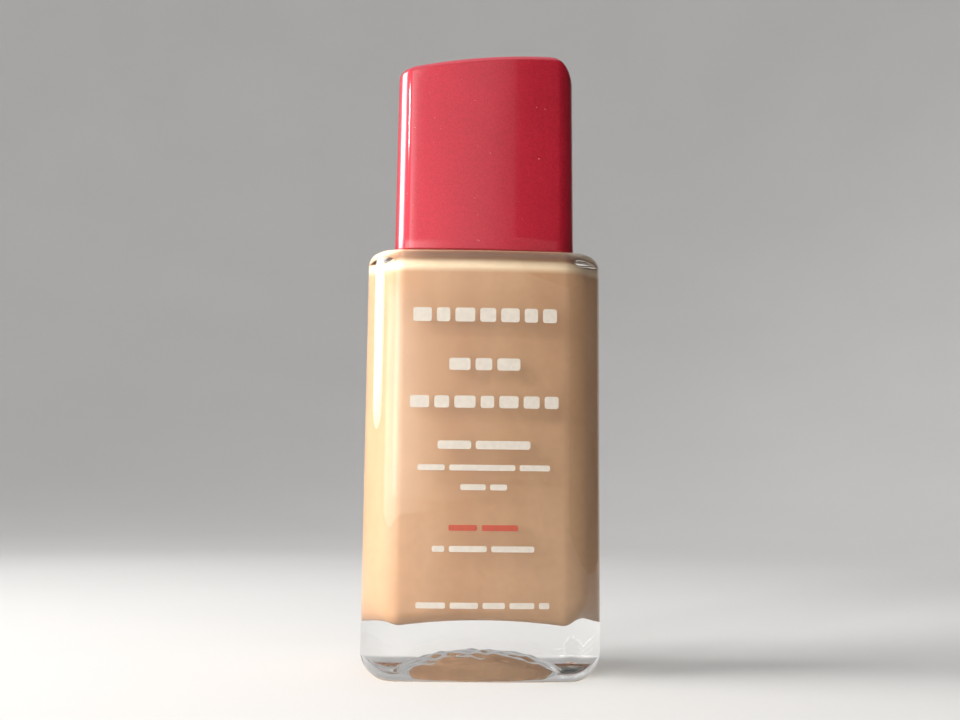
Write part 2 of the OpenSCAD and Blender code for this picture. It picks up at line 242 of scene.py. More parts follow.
class Nodes:
    """A material's node tree with short calls for the nodes used here."""

    def __init__(self, name):
        self.material = bpy.data.materials.new(name)
        self.material.use_nodes = True
        self.tree = self.material.node_tree
        self.shader = self.tree.nodes["Principled BSDF"]
        self.output = self.tree.nodes["Material Output"]
        self.position = self.add("ShaderNodeTexCoord").outputs["Object"]

    def add(self, kind, inputs=None, **settings):
        """A new node; inputs are values or sockets, settings are the node's own properties."""
        node = self.tree.nodes.new(kind)
        for key, value in settings.items():
            setattr(node, key, value)
        for key, value in (inputs or {}).items():
            self.feed(node.inputs[key], value)
        return node

    def feed(self, socket, value):
        """Links a socket to another one or gives it a value."""
        if isinstance(value, bpy.types.NodeSocket):
            self.tree.links.new(value, socket)
        else:
            socket.default_value = value

    def noise(self, scale, detail=2.0, roughness=0.5, stretch=(1, 1, 1)):
        """Noise in the piece's own space; a scale of 1000 has features of about 1 mm."""
        mapping = self.add("ShaderNodeMapping", {"Vector": self.position, "Scale": stretch})
        noise = self.add(
            "ShaderNodeTexNoise",
            {
                "Vector": mapping.outputs["Vector"],
                "Scale": scale,
                "Detail": detail,
                "Roughness": roughness,
            },
        )
        return noise.outputs["Fac"]

    def math(self, operation, first, second=0.0):
        """The value of one Math node."""
        node = self.add("ShaderNodeMath", {0: first, 1: second}, operation=operation)
        return node.outputs["Value"]

    def ramp(self, factor, low, high, start, end):
        """Factor mapped from low..high to start..end, without going past them."""
        node = self.add(
            "ShaderNodeMapRange",
            {"Value": factor, "From Min": low, "From Max": high, "To Min": start, "To Max": end},
        )
        return node.outputs["Result"]

    def mix(self, factor, first, second, blend="MIX"):
        """The first colour at factor 0, and the second, or their blend, at factor 1."""
        node = self.add("ShaderNodeMix", data_type="RGBA", blend_type=blend)
        colours = [s for s in node.inputs if s.type == "RGBA"]
        self.feed(node.inputs["Factor"], factor)
        self.feed(colours[0], first)
        self.feed(colours[1], second)
        return next(s for s in node.outputs if s.type == "RGBA")

    def bump(self, height, strength, distance_mm):
        """Relief for the shader's normal."""
        node = self.add(
            "ShaderNodeBump",
            {"Height": height, "Strength": strength, "Distance": distance_mm * MM},
        )
        self.feed(self.shader.inputs["Normal"], node.outputs["Normal"])

    def set(self, **values):
        """Principled inputs, with underscores for spaces."""
        for key, value in values.items():
            self.feed(self.shader.inputs[key.replace("_", " ")], value)


def rgb(red, green, blue):
    """A display colour from 0 to 255 as the linear colour a shader takes."""
    linear = [
        c / 12.92 if c <= 0.04045 else ((c + 0.055) / 1.055) ** 2.4
        for c in (red / 255, green / 255, blue / 255)
    ]
    return (*linear, 1.0)


CREAM, CREAM_STREAK = rgb(172, 133, 101), rgb(182, 146, 113)
# Cream tones for the painted highlight on the upper edge and the painted shade under the roof.
CREAM_EDGE_HIGHLIGHT, CREAM_ROOF_SHADE = rgb(214, 191, 160), rgb(150, 106, 80)
CAP_RED, CAP_FLAKE, CAP_DUST = rgb(168, 14, 36), rgb(186, 24, 48), rgb(226, 190, 190)
WHITE_INK, RED_INK = rgb(202, 192, 179), rgb(178, 74, 52)
CLOSURE_WHITE, FOAM_WHITE = rgb(232, 229, 224), rgb(232, 230, 224)
LABEL_PAPER, BAR_DARK, BAR_PALE = rgb(236, 233, 226), rgb(128, 124, 120), rgb(150, 146, 142)
FLOOR_DEEP, FLOOR_PALE = rgb(204, 202, 199), rgb(207, 205, 202)
GLASS_SHADE, CLOTH_BLACK = (0.93, 0.95, 0.94, 1), (0.01, 0.01, 0.01, 1)


# ---- Materials ----


def glass_material():
    """Clear flint glass, faintly wavy and smudged; lamps shine through it."""
    n = Nodes("clear_glass")
    n.set(Base_Color=(1, 1, 1, 1), Transmission_Weight=1.0, IOR=1.5)
    smudge = n.noise(140, detail=4, roughness=0.6)
    n.set(Roughness=n.ramp(smudge, 0.45, 0.8, 0.0, 0.045))
    n.bump(n.noise(45, detail=1), 0.25, 0.35)
    lamp_ray = n.add("ShaderNodeLightPath").outputs["Is Shadow Ray"]
    clear = n.add("ShaderNodeBsdfTransparent", {"Color": GLASS_SHADE})
    glass = n.shader.outputs["BSDF"]
    through = n.add("ShaderNodeMixShader", {0: lamp_ray, 1: glass, 2: clear.outputs["BSDF"]})
    n.feed(n.output.inputs["Surface"], through.outputs["Shader"])
    return n.material


def foundation_material():
    """Opaque tan cream with soft streaks where it clings to the glass.

    A painted highlight makes it paler round the rounded upper edge, where the glass shoulder
    gathers light on it, and painted shade makes it darker under the cavity's roof, where the
    cap's shadow falls.
    """
    n = Nodes("foundation_cream")
    streaks = n.noise(60, detail=3, stretch=(1.6, 1.6, 0.35))
    cream = n.mix(n.ramp(streaks, 0.35, 0.68, 0, 1), CREAM, CREAM_STREAK)
    height = n.add("ShaderNodeSeparateXYZ", {"Vector": n.position}).outputs["Z"]
    edge_z, roof_z = (CAVITY_TOP_Z - CAVITY_ROOF_R) * MM, CAVITY_TOP_Z * MM
    fade_below, fade_above, fade_roof = 0.4 * MM, 0.5 * MM, 0.5 * MM
    roof_shade_low, roof_shade_high = 0.35 * MM, 0.05 * MM
    # Painted highlight: a paler band round the cavity's rounded upper edge, in place of the light
    # the glass shoulder gathers there.
    painted_edge_highlight = n.math(
        "MULTIPLY",
        n.ramp(height, edge_z - fade_below, edge_z + fade_above, 0, 1),
        n.ramp(height, roof_z - fade_roof, roof_z, 1, 0),
    )
    cream = n.mix(painted_edge_highlight, cream, CREAM_EDGE_HIGHLIGHT)
    # Painted shade: darker just under the cavity's roof, where the cap's shadow falls.
    painted_roof_shade = n.ramp(height, roof_z - roof_shade_low, roof_z - roof_shade_high, 0, 1)
    cream = n.mix(painted_roof_shade, cream, CREAM_ROOF_SHADE)
    grain = n.ramp(n.noise(900, detail=2), 0.35, 0.7, 0.965, 1.02)
    n.set(Base_Color=n.mix(1.0, cream, grain, "MULTIPLY"), Specular_IOR_Level=0.12)
    n.set(Roughness=n.ramp(n.noise(220), 0.3, 0.7, 0.42, 0.58))
    n.bump(n.noise(320, detail=3), 0.15, 0.05)
    return n.material


def cap_material():
    """Glossy red moulding with a fine pearl pigment, a clear skin and a little dust."""
    n = Nodes("red_cap_plastic")
    pearl = n.add("ShaderNodeTexVoronoi", {"Vector": n.position, "Scale": 5200.0}, feature="F1")
    flake = n.add("ShaderNodeSeparateColor", {"Color": pearl.outputs["Color"]}).outputs["Red"]
    red = n.mix(flake, CAP_RED, CAP_FLAKE)
    cloud = n.ramp(n.noise(70, detail=3), 0.35, 0.7, 0.94, 1.05)
    red = n.mix(1.0, red, cloud, "MULTIPLY")
    dust = n.ramp(n.noise(2600, detail=1), 0.79, 0.82, 0, 0.55)
    n.set(Base_Color=n.mix(dust, red, CAP_DUST))
    n.set(Roughness=n.ramp(flake, 0.0, 1.0, 0.34, 0.44), Metallic=0.45)
    n.set(Coat_Weight=1.0, Coat_Roughness=0.06, Coat_IOR=1.5)
    n.bump(n.noise(55, detail=1), 0.12, 0.1)
    return n.material


def ink_material(name, colour):
    """Screen-printed ink, slightly uneven in cover."""
    n = Nodes(name)
    cover = n.ramp(n.noise(1500, detail=3), 0.3, 0.7, 0.92, 1.03)
    n.set(Base_Color=n.mix(1.0, colour, cover, "MULTIPLY"))
    n.set(Roughness=n.ramp(n.noise(700), 0.3, 0.7, 0.4, 0.55))
    n.bump(n.noise(2500, detail=2), 0.2, 0.02)
    return n.material


def moulded_plastic(name, colour, scale=600):
    """Plain satin moulding with a faint surface grain."""
    n = Nodes(name)
    tone = n.ramp(n.noise(scale, detail=3), 0.3, 0.7, 0.96, 1.03)
    n.set(Base_Color=n.mix(1.0, colour, tone, "MULTIPLY"))
    n.set(Roughness=n.ramp(n.noise(scale / 3), 0.3, 0.7, 0.36, 0.5))
    n.bump(n.noise(scale * 4, detail=2), 0.2, 0.03)
    return n.material


def foam_material():
    """Closed-cell foam: fine cells that dimple a matt off-white."""
    n = Nodes("liner_foam")
    cells = n.add("ShaderNodeTexVoronoi", {"Vector": n.position, "Scale": 3500.0})
    tone = n.ramp(cells.outputs["Distance"], 0.0, 0.6, 0.9, 1.02)
    n.set(Base_Color=n.mix(1.0, FOAM_WHITE, tone, "MULTIPLY"), Roughness=0.8)
    n.bump(cells.outputs["Distance"], 0.5, 0.06)
    return n.material


def label_material():
    """Satin film with paragraphs of plain grey bars in place of small print, inside a margin."""
    n = Nodes("label_film")
    margin, row_h, bar_w, between_bars = 1.9, 1.15, 3.4, 0.34
    rows_per_paragraph = 8
    paragraph_h = rows_per_paragraph * row_h
    flat = n.add("ShaderNodeSeparateXYZ", {"Vector": n.position})
    along, up = flat.outputs["X"], flat.outputs["Z"]
    place = n.add("ShaderNodeCombineXYZ", {"X": along, "Y": up})
    rows = n.add(
        "ShaderNodeTexBrick",
        {
            "Vector": place.outputs["Vector"],
            "Color1": BAR_DARK,
            "Color2": BAR_PALE,
            "Mortar": LABEL_PAPER,
            "Scale": 1.0,
            "Mortar Size": between_bars * MM,
            "Mortar Smooth": 0.1,
            "Brick Width": bar_w * MM,
            "Row Height": row_h * MM,
        },
        offset=0.37,
        squash=0.8,
        squash_frequency=3,
    )
    half_w = (label_high[0] - label_low[0]) / 2 - margin
    half_h = (label_high[2] - label_low[2]) / 2 - margin
    mid_z = (label_high[2] + label_low[2]) / 2
    inside_w = n.math("LESS_THAN", n.math("ABSOLUTE", along), half_w * MM)
    off_middle = n.math("ABSOLUTE", n.math("SUBTRACT", up, mid_z * MM))
    inside_h = n.math("LESS_THAN", off_middle, half_h * MM)
    inside = n.math("MULTIPLY", inside_w, inside_h)
    up_paragraph = n.math("FLOORED_MODULO", up, paragraph_h * MM)
    printed = n.math("MULTIPLY", inside, n.math("GREATER_THAN", up_paragraph, row_h * MM))
    n.set(Base_Color=n.mix(printed, LABEL_PAPER, rows.outputs["Color"]))
    n.set(Roughness=n.ramp(n.noise(400), 0.3, 0.7, 0.35, 0.5))
    n.bump(n.noise(1200, detail=2), 0.15, 0.02)
    return n.material


def floor_material():
    """Pale seamless paper."""
    n = Nodes("pale_paper")
    tone = n.ramp(n.noise(9, detail=4), 0.3, 0.7, 0, 1)
    n.set(Base_Color=n.mix(tone, FLOOR_DEEP, FLOOR_PALE), Roughness=0.85)
    n.bump(n.noise(900, detail=3), 0.08, 0.05)
    return n.material


# ---- The glass bottle ----

body_shape = outline(BODY_W, BODY_D, CORNER_R, FACE_BOW, SIDE_BOW)
cavity_shape = outline(CAVITY_W, CAVITY_D, CAVITY_CORNER_R, FACE_BOW, SIDE_BOW)
cap_shape = outline(CAP_W, CAP_D, CAP_CORNER_R, CAP_FACE_BOW, CAP_SIDE_BOW)


def thread_rise(angle, z, start_z):
    """How much of the thread's depth stands at each angle (radians) and height."""
    best = np.zeros_like(angle)
    sweep = THREAD_TURNS * 360
    for turn in range(-1, math.ceil(THREAD_TURNS) + 1):
        degrees = np.degrees(angle) + 360 * turn
        centre = start_z + THREAD_PITCH * degrees / 360
        fade = smooth_step(np.minimum(degrees, sweep - degrees) / THREAD_FADE)
        off = np.abs(z - centre)
        flank = (THREAD_ROOT / 2 - off) / (THREAD_ROOT - THREAD_CREST) * 2
        on_thread = (degrees >= 0) & (degrees <= sweep)
        best = np.maximum(best, smooth_step(flank) * fade * on_thread)
    return best


# Each wave: its pace along x and along y, where it starts, and its part of the height.
SETTLE_WAVES = (
    (0.9, 0.5, 1.1, 1.0),
    (1.7, -0.8, 0.4, 1.0),
    (0.6, 1.9, 2.3, 1.0),
    (3.1, 1.3, 0.0, 0.6),
)
# Height of the waves in the hollow and on the cavity's floor, and the smallest ring's size.
PUSH_UP_WAVE, FLOOR_WAVE, MIDDLE_SIZE = 0.25, 0.12, 0.04


def settle(points, depth):
    """Gentle waves that hot glass keeps where it settled in the mould, from -depth to depth."""
    x, y = points[:, 0], points[:, 1]
    waves = sum(part * np.sin(a * x + b * y + start) for a, b, start, part in SETTLE_WAVES)
    return depth * waves / sum(wave[-1] for wave in SETTLE_WAVES)


def push_up_ring(foot, size):
    """One ring of the hollow under the base: the foot's outline at its edge, an oval further in.

    Foot is the underside's flat outline and size the ring's share of it.
    """
    share = size / BEARING_SIZE
    half_w, half_d = foot[:, 0].max(), foot[:, 1].max()
    angle = np.arctan2(foot[:, 1] / half_d, foot[:, 0] / half_w)
    oval = np.column_stack([half_w * np.cos(angle), half_d * np.sin(angle)])
    flat = size * (foot[:, :2] + (oval - foot[:, :2]) * smooth_step(2 - 2 * share))
    height = np.full(len(flat), PUSH_UP * (1 - share**PUSH_UP_POWER))
    height += settle(flat, PUSH_UP_WAVE) * smooth_step((1 - share) * 5)
    return np.column_stack([flat, height])


def body_rings():
    """Outside of the body, from the underside's middle to the edge of the shoulder."""
    heel_r = HEEL_FRONT_R + (HEEL_SIDE_R - HEEL_FRONT_R) * body_shape[1][:, 0] ** 2
    foot = ring(body_shape, heel_r, 0)
    rings = [push_up_ring(foot, size) for size in np.linspace(MIDDLE_SIZE, BEARING_SIZE, 28)]
    for size in (0.91, 0.94, 0.97):
        rings.append(ring(body_shape, heel_r, 0, size))
    for t in quarter_turn(14):
        rings.append(ring(body_shape, heel_r * (1 - math.sin(t)), heel_r * (1 - math.cos(t))))
    shoulder = [
        ring(body_shape, SHOULDER_R * (1 - math.cos(t)), BODY_H - SHOULDER_R * (1 - math.sin(t)))
        for t in quarter_turn(10)
    ]
    return rings + between(rings[-1], shoulder[0], 14) + shoulder


def neck_rings():
    """Neck from its root fillet up over the threads and lip and down into the bore."""
    angle = np.arctan2(body_shape[0][:, 1], body_shape[0][:, 0]) % (2 * math.pi)
    rings = []
    for t in quarter_turn(5):
        out, up = NECK_FILLET_R * (1 - math.sin(t)), NECK_FILLET_R * (1 - math.cos(t))
        rings.append(circle(body_shape, NECK_R + out, BODY_H + up))
    least_gap = 0.05
    first_z, last_z = BODY_H + NECK_FILLET_R + THREAD_RING_STEP, NECK_TOP_Z - LIP_R - least_gap
    for z in np.arange(first_z, last_z, THREAD_RING_STEP):
        rise = thread_rise(angle, z, THREAD_Z)
        rings.append(circle(body_shape, NECK_R + THREAD_DEPTH * rise, z))
    for t in quarter_turn(6):
        inward, down = LIP_R * (1 - math.cos(t)), LIP_R * (1 - math.sin(t))
        rings.append(circle(body_shape, NECK_R - inward, NECK_TOP_Z - down))
    for t in quarter_turn(5):
        out, down = INNER_LIP_R * (1 - math.sin(t)), INNER_LIP_R * (1 - math.cos(t))
        rings.append(circle(body_shape, BORE_R + out, NECK_TOP_Z - down))
    return rings


def throat_rings(grow=0.0):
    """The bore's lower end, flaring into the cavity's roof; grow widens it."""
    rings = []
    for t in quarter_turn(8):
        out, up = THROAT_R * (1 - math.cos(t)), THROAT_R * (1 - math.sin(t))
        rings.append(circle(body_shape, BORE_R + grow + out, CAVITY_TOP_Z + grow + up))
    return rings


def arched(points, share):
    """Lifts a ring by the cavity floor's arch, times a share that fades it out up the wall."""
    rise = FLOOR_ARCH * (1 - (2 * points[:, 0] / CAVITY_W) ** 2)
    return points + np.column_stack([np.zeros((len(points), 2)), share * rise])


def cavity_edge(r, side_h, t, z, grow, up):
    """Ring of a rounded cavity edge: r across the wall, and r to side_h up it; up is 1 or -1."""
    height = r + (side_h - r) * cavity_shape[1][:, 0] ** 2
    rise = height * (1 - math.cos(t)) - grow
    return ring(cavity_shape, r * (1 - math.sin(t)) - grow, z + up * rise)


def cavity_rings(grow=0.0):
    """Cavity from the edge of its roof down to the middle of its floor; grow widens it."""
    rings = [
        cavity_edge(CAVITY_ROOF_R, CAVITY_ROOF_SIDE_H, t, CAVITY_TOP_Z, grow, -1)
        for t in quarter_turn(12)
    ]
    floor_edge = []
    for t in quarter_turn(14)[::-1]:
        edge = cavity_edge(CAVITY_FLOOR_R, CAVITY_FLOOR_SIDE_H, t, CAVITY_Z, grow, 1)
        floor_edge.append(arched(edge, math.cos(t)))
    rings += between(rings[-1], floor_edge[0], 14) + floor_edge
    for size in np.arange(24, 0, -1) * MIDDLE_SIZE:
        dome = FLOOR_DOME * (1 - size * size)
        flat = ring(cavity_shape, CAVITY_FLOOR_R - grow, CAVITY_Z - grow + dome, size)
        flat[:, 2] += settle(flat * [-1, 1, 1], FLOOR_WAVE) * smooth_step((1 - size) * 4)
        rings.append(arched(flat, 1))
    return rings


def build_glass():
    """One closed skin: body, neck, bore and cavity."""
    body, neck = body_rings(), neck_rings()
    throat, cavity = throat_rings(), cavity_rings()
    rings = body + between(body[-1], neck[0], 6) + neck
    rings += between(neck[-1], throat[0], 6) + throat
    rings += between(throat[-1], cavity[0], 5) + cavity
    piece = loft("glass_body", rings, glass_material(), "bottle")
    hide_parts("glass_bottle")


def build_foundation():
    """The cream in the cavity, a hair into the glass so that no air shows between them."""
    overlap = 0.03
    curve_in, curve_drop, middle_r, middle_drop = 0.4, 0.18, 2.0, 0.22
    cavity, throat = cavity_rings(overlap)[::-1], throat_rings(overlap)[::-1]
    level = circle(body_shape, BORE_R + overlap, FILL_Z)
    meniscus = [
        circle(body_shape, BORE_R - curve_in, FILL_Z - curve_drop),
        circle(body_shape, middle_r, FILL_Z - middle_drop),
    ]
    rings = cavity + between(cavity[-1], throat[0], 5) + throat
    rings += between(throat[-1], level, 2) + [level] + meniscus
    piece = loft("foundation_cream", rings, foundation_material(), "bottle")
    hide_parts("foundation_liquid")


# ---- Print and label ----

# Each line of print: height of its middle, height of its marks, gap between them, their lengths.
WHITE_LINES = (
    (56.4, 2.2, 0.8, (2.9, 2.1, 3.1, 2.5, 2.9, 2.1, 2.2)),
    (48.6, 1.9, 0.8, (3.3, 2.6, 3.6)),
    (42.7, 1.9, 0.8, (3, 2.3, 3.3, 2.1, 3, 2.5, 2.2)),
    (36, 1.3, 0.7, (5.2, 8.5)),
    (32.5, 0.9, 0.7, (4.2, 10.2, 4.7)),
    (29.5, 0.9, 0.7, (3.9, 2.6)),
    (20.1, 0.9, 0.7, (1.9, 5.8, 6.6)),
    (11.6, 0.9, 0.7, (4.5, 4.3, 3.4, 3.8, 1.6)),
)
RED_LINES = ((23.3, 0.9, 0.7, (4.4, 5.6)),)


def bowed_patch(x0, x1, mid_z, height, corner_r, thick, back=False):
    """Points and faces of a rounded rectangle of film that lies on the front or back face."""
    column_gap, least_half = 0.6, 0.02 * height
    radius = arc_radius(BODY_W, FACE_BOW)
    centre_y = radius - BODY_D / 2
    ends = corner_r * (1 - np.cos(quarter_turn(8)))
    count = max(3, int((x1 - x0) / column_gap))
    middle = np.linspace(x0 + corner_r, x1 - corner_r, count)[1:-1]
    columns = np.concatenate([x0 + ends, middle, (x1 - ends)[::-1]])
    edge = np.minimum(columns - x0, x1 - columns).clip(0, corner_r)
    half = height / 2 - corner_r + np.sqrt(corner_r**2 - (corner_r - edge) ** 2)
    half = half.clip(least_half, None)
    angle = np.arcsin(columns / radius)
    points = []
    for rise in (FILM_GAP, FILM_GAP + thick):
        x, y = (radius + rise) * np.sin(angle), centre_y - (radius + rise) * np.cos(angle)
        for side in (-1, 1):
            points.append(np.column_stack([x, y, mid_z + side * half]))
    points = np.concatenate(points)
    if back:
        points = points * [-1, -1, 1]
    count = len(columns)
    under_low, under_high, over_low, over_high = (np.arange(count) + k * count for k in range(4))
    strips = (
        (over_low, over_high),
        (under_high, under_low),
        (under_low, over_low),
        (over_high, under_high),
    )
    faces = []
    for a, b in strips:
        faces += np.column_stack([a[:-1], a[1:], b[1:], b[:-1]]).tolist()
    for k, order in ((0, 1), (count - 1, -1)):
        end = [int(under_low[k]), int(over_low[k]), int(over_high[k]), int(under_high[k])]
        faces.append(end[::order])
    return points, faces


def build_print(name, lines, material, node):
    """Rows of rounded marks in place of the wording, each row centred."""
    points, faces = [], []
    for mid_z, height, gap, marks in lines:
        x = -(sum(marks) + gap * (len(marks) - 1)) / 2
        for length in marks:
            corner_r = min(MARK_CORNER_SHARE * height, MARK_CORNER_R)
            patch, patch_faces = bowed_patch(x, x + length, mid_z, height, corner_r, INK_T)
            first = sum(len(p) for p in points)
            points.append(patch)
            faces += [[first + i for i in face] for face in patch_faces]
            x += length + gap
    piece = make_mesh(name, np.concatenate(points), faces, material, "bottle", smooth=False)
    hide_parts(node)


def build_label():
    """The film on the back face."""
    half_w, height = (label_high[0] - label_low[0]) / 2, label_high[2] - label_low[2]
    mid_z = (label_high[2] + label_low[2]) / 2
    points, faces = bowed_patch(
        -half_w, half_w, mid_z, height, LABEL_CORNER_R, LABEL_T, back=True
    )
    piece = make_mesh("back_label_film", points, faces, label_material(), "bottle", smooth=False)
    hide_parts("back_label")


# ---- Cap ----


def cap_roof(x, y):
    """Height of the cap's top over a point."""
    return CAP_TOP_Z - (x - CAP_PEAK_X) ** 2 / (2 * CAP_TOP_R) - y * y / (2 * CAP_CROWN_R)


def cap_top_points(inset):
    """Outline of the top inside its rounded edge, for a wall drawn in by inset."""
    low, high, front = (
        max(size - inset / 2, CAP_EDGE_LEAST)
        for size in (CAP_EDGE_LOW, CAP_EDGE_HIGH, CAP_EDGE_FRONT)
    )
    width = CAP_W - 2 * (inset + CAP_DRAFT) - low - high
    depth = CAP_D - 2 * (inset + CAP_DRAFT + front)
    face_bow, side_bow = CAP_FACE_BOW * (width / CAP_W) ** 2, CAP_SIDE_BOW * (depth / CAP_D) ** 2
    points, _ = outline(width, depth, CAP_TOP_CORNER_R, face_bow, side_bow)
    return points + [(low - high) / 2, 0]


def cap_edge(inset, lid, t):
    """Ring of the rounded top edge at angle t, for a wall drawn in by inset."""
    points, normals = cap_shape
    steep = np.where(normals[:, 0] > 0, CAP_EDGE_DROP, CAP_EDGE_LOW) - CAP_EDGE_FRONT
    drop = (CAP_EDGE_FRONT + steep * normals[:, 0] ** 2 - inset / 2).clip(CAP_EDGE_LEAST, None)
    wall = points - (inset + CAP_DRAFT) * normals
    flat = wall + (cap_top_points(inset) - wall) * (1 - math.cos(t))
    z = cap_roof(flat[:, 0], flat[:, 1]) - lid - drop * (1 - math.sin(t))
    return np.column_stack([flat, z])


def cap_roof_rings(inset, lid):
    """Rings that close the top, each a smaller copy of the edge ring."""
    rings = []
    for size in np.linspace(0.94, 0.06, 12):
        flat = cap_edge(inset, lid, math.pi / 2)[:, :2] * size
        rings.append(np.column_stack([flat, cap_roof(flat[:, 0], flat[:, 1]) - lid]))
    return rings


def rib_points(side_x, side_y):
    """An upright rib inside the shell, stepped so that its head stops the inner cap's lid."""
    root_x = CAP_W / 2 - RIB_BITE * CAP_WALL
    profile = (
        (root_x, RIB_LOW_Z),
        (root_x, RIB_TOP_Z),
        (RIB_STOP_X, RIB_TOP_Z),
        (RIB_STOP_X, RIB_STEP_Z),
        (RIB_FOOT_X, RIB_STEP_Z),
        (RIB_FOOT_X, RIB_LOW_Z),
    )
    sides = [side_y * RIB_Y + side * RIB_T / 2 for side in (-1, 1)]
    points = [(side_x * x, y, z) for y in sides for x, z in profile]
    count = len(profile)
    faces = [list(range(count)), list(range(2 * count - 1, count - 1, -1))]
    faces += [[i, i + count, (i + 1) % count + count, (i + 1) % count] for i in range(count)]
    if side_x < 0:
        faces = [face[::-1] for face in faces]
    return points, faces


def cap_rim_ring(t, inner=False):
    """Ring of the rounded rim at the mouth, on the outer or the inner side of the wall."""
    inset, up = CAP_RIM_R * (1 - math.sin(t)), CAP_RIM_R * (1 - math.cos(t))
    return ring(cap_shape, CAP_WALL - inset if inner else inset, CAP_Z + up)


def build_cap_shell():
    """The red shell: one closed skin, inside and out, and four ribs that bite into its wall."""
    outer_edge = [cap_edge(0, 0, t) for t in quarter_turn(14)]
    inner_edge = [cap_edge(CAP_WALL, CAP_LID, t) for t in quarter_turn(4)]
    rim = [cap_rim_ring(t) for t in quarter_turn(4)]
    inner_rim = [cap_rim_ring(t, inner=True) for t in quarter_turn(3)[::-1]]
    inside = (inner_edge + cap_roof_rings(CAP_WALL, CAP_LID))[::-1]
    inside += between(inside[-1], inner_rim[0], 6) + inner_rim
    outside = rim + between(rim[-1], outer_edge[0], 14) + outer_edge + cap_roof_rings(0, 0)
    rings = inside + outside
    points, faces = loft_points(rings), loft_faces(rings)
    for side_x in (-1, 1):
        for side_y in (-1, 1):
            rib, rib_faces = rib_points(side_x, side_y)
            first = len(points)
            points = np.concatenate([points, rib])
            faces += [[first + i for i in face] for face in rib_faces]
    piece = make_mesh("red_cap", points, faces, cap_material(), "cap")
    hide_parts("cap_shell")


def build_inner_cap():
    """Threaded closure: a flange in the shell's mouth, a socket with its thread, and a lid."""
    socket_r, wall, lid_t, flange_t = 9.05, 1.1, 1.2, 1.2
    flange_gap, flange_edge, mouth_r, lid_r = 0.05, 0.2, 0.4, 0.5
    thread_gap, root_gap = 0.35, 0.02
    low_z, top_z = inner_low[2], inner_high[2]
    angle = np.arctan2(cap_shape[0][:, 1], cap_shape[0][:, 0]) % (2 * math.pi)
    thread_depth = socket_r - (NECK_R + thread_gap)
    rings = [circle(cap_shape, socket_r * size, top_z - lid_t) for size in (0.15, 0.5, 0.85)]
    for z in np.arange(top_z - lid_t, low_z + mouth_r, -THREAD_RING_STEP):
        rise = thread_rise(angle, z, THREAD_Z - THREAD_PITCH / 2)
        rings.append(circle(cap_shape, socket_r - thread_depth * rise, z))
    for t in quarter_turn(4)[::-1]:
        out, up = mouth_r * (1 - math.sin(t)), mouth_r * (1 - math.cos(t))
        rings.append(circle(cap_shape, socket_r + out, low_z + up))
    flange = (
        (flange_edge, 0),
        (0, flange_edge),
        (0, flange_t - flange_edge),
        (flange_edge, flange_t),
    )
    for inset, up in flange:
        rings.append(ring(cap_shape, CAP_WALL + flange_gap + inset, low_z + up))
    outer_r = socket_r + wall
    rings.append(circle(cap_shape, outer_r + root_gap, low_z + flange_t))
    for t in quarter_turn(4):
        inward, down = lid_r * (1 - math.cos(t)), lid_r * (1 - math.sin(t))
        rings.append(circle(cap_shape, outer_r - inward, top_z - down))
    for radius in (5.0, 1.0):
        rings.append(circle(cap_shape, radius, top_z))
    material = moulded_plastic("inner_cap_plastic", CLOSURE_WHITE)
    piece = loft("threaded_closure", rings, material, "cap")
    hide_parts("inner_cap")


def build_liner():
    """Foam disc with the ring that the neck's lip has pressed into it."""
    radius = (liner_high[0] - liner_low[0]) / 2
    low_z, top_z = liner_low[2], liner_high[2]
    dent_mid, dent_half, dent = 6.4, 1.1, 0.06
    middle_r, edge_r = 0.6, 0.2
    rings = []
    for r in np.linspace(middle_r, radius - edge_r, 34):
        press = smooth_step(1 - abs(r - dent_mid) / dent_half)
        rings.append(circle(body_shape, r, low_z + dent * press))
    for t in quarter_turn(4)[1:]:
        inward, up = edge_r * (1 - math.sin(t)), edge_r * (1 - math.cos(t))
        rings.append(circle(body_shape, radius - inward, low_z + up))
    for t in quarter_turn(4):
        inward, down = edge_r * (1 - math.cos(t)), edge_r * (1 - math.sin(t))
        rings.append(circle(body_shape, radius - inward, top_z - down))
    rings.append(circle(body_shape, middle_r, top_z))
    piece = loft("sealing_liner", rings, foam_material(), "liner")
    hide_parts("cap_liner")


# ---- Stage, lights and camera, in metres ----


def build_stage():
    """A pale round floor that curves up into a low wall, a backdrop for every view."""
    flat_r, bend_r, wall_h = 0.4, 0.6, 0.6
    flat_steps, bend_steps, sides = 8, 12, 96
    profile = [(flat_r * k / flat_steps, 0.0) for k in range(1, flat_steps + 1)]
    for t in quarter_turn(bend_steps)[1:]:
        profile.append((flat_r + bend_r * math.sin(t), bend_r * (1 - math.cos(t))))
    profile.append((flat_r + bend_r, bend_r + wall_h))
    angles = np.linspace(0, 2 * math.pi, sides, endpoint=False)
    points = [(0.0, 0.0, 0.0)]
    for radius, z in profile:
        points += [(radius * math.cos(a), radius * math.sin(a), z) for a in angles]
    faces = [[0, 1 + i, 1 + (i + 1) % sides] for i in range(sides)]
    for k in range(len(profile) - 1):
        low, high = 1 + k * sides, 1 + (k + 1) * sides
        for i in range(sides):
            following = (i + 1) % sides
            faces.append([low + i, high + i, high + following, low + following])
    mesh = bpy.data.meshes.new("floor")
    mesh.from_pydata(points, [], faces)
    mesh.polygons.foreach_set("use_smooth", [True] * len(mesh.polygons))
    mesh.materials.append(floor_material())
    floor = bpy.data.objects.new("floor", mesh)
    bpy.context.scene.collection.objects.link(floor)


